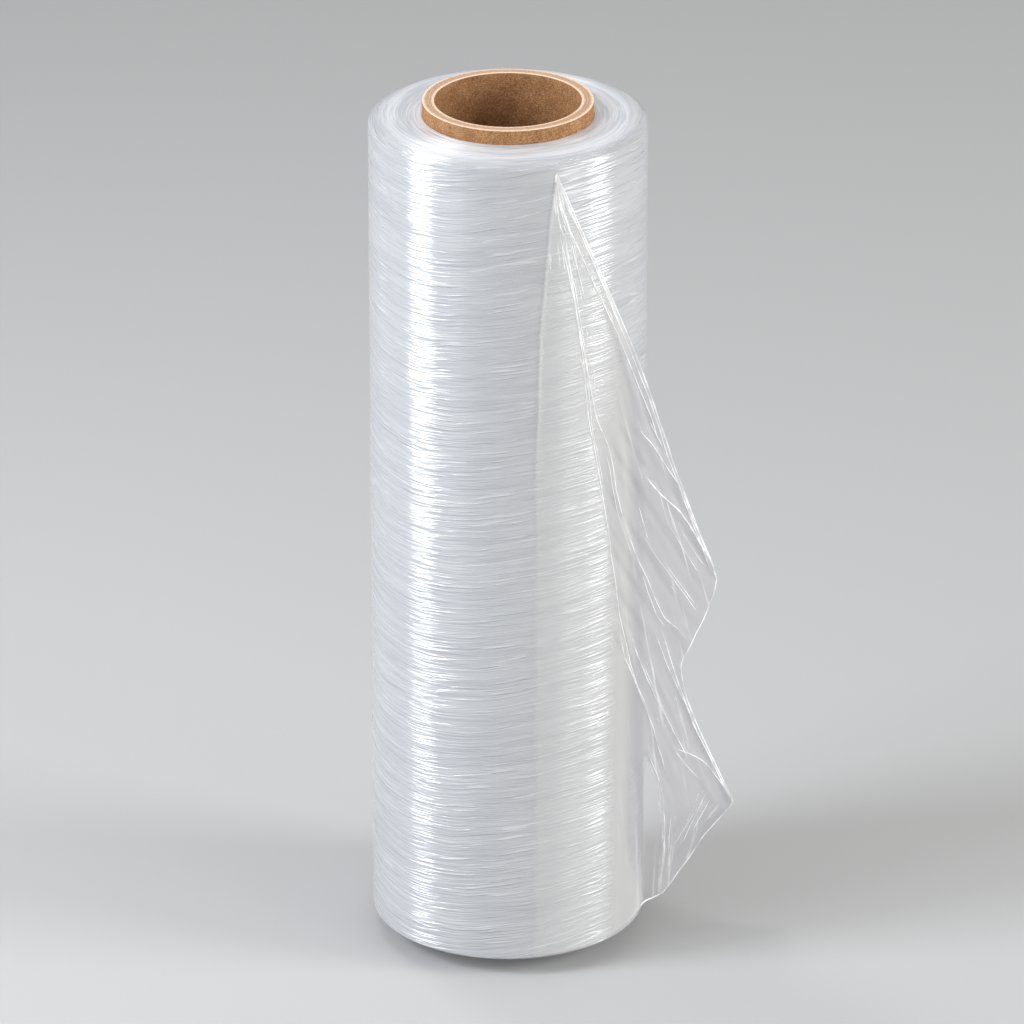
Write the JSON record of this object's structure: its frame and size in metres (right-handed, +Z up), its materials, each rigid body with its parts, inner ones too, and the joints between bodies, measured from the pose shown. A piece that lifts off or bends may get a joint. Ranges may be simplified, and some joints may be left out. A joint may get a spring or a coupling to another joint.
{
  "type": "stretch wrap roll",
  "caption": "Roll of clear stretch film wound on a cardboard core, standing on end, with its loose end gathered to a point and hanging off one side.",
  "frame": {"origin": "on the core's axis, at the core's lower rim that the roll stands on", "axes": "+Z up along the core, -Y the front where the loose end leaves the roll, +X the side that it hangs off"},
  "size_m": [0.1925, 0.1456, 0.472],
  "materials": {
    "kraft_board": "matt kraft board with fine fibre",
    "clear_film": "clear glossy film, milky white where it is wound"
  },
  "bodies": {
    "root": {"core": "kraft_board", "film": "clear_film", "loose_end": "clear_film"}
  },
  "joints": []
}
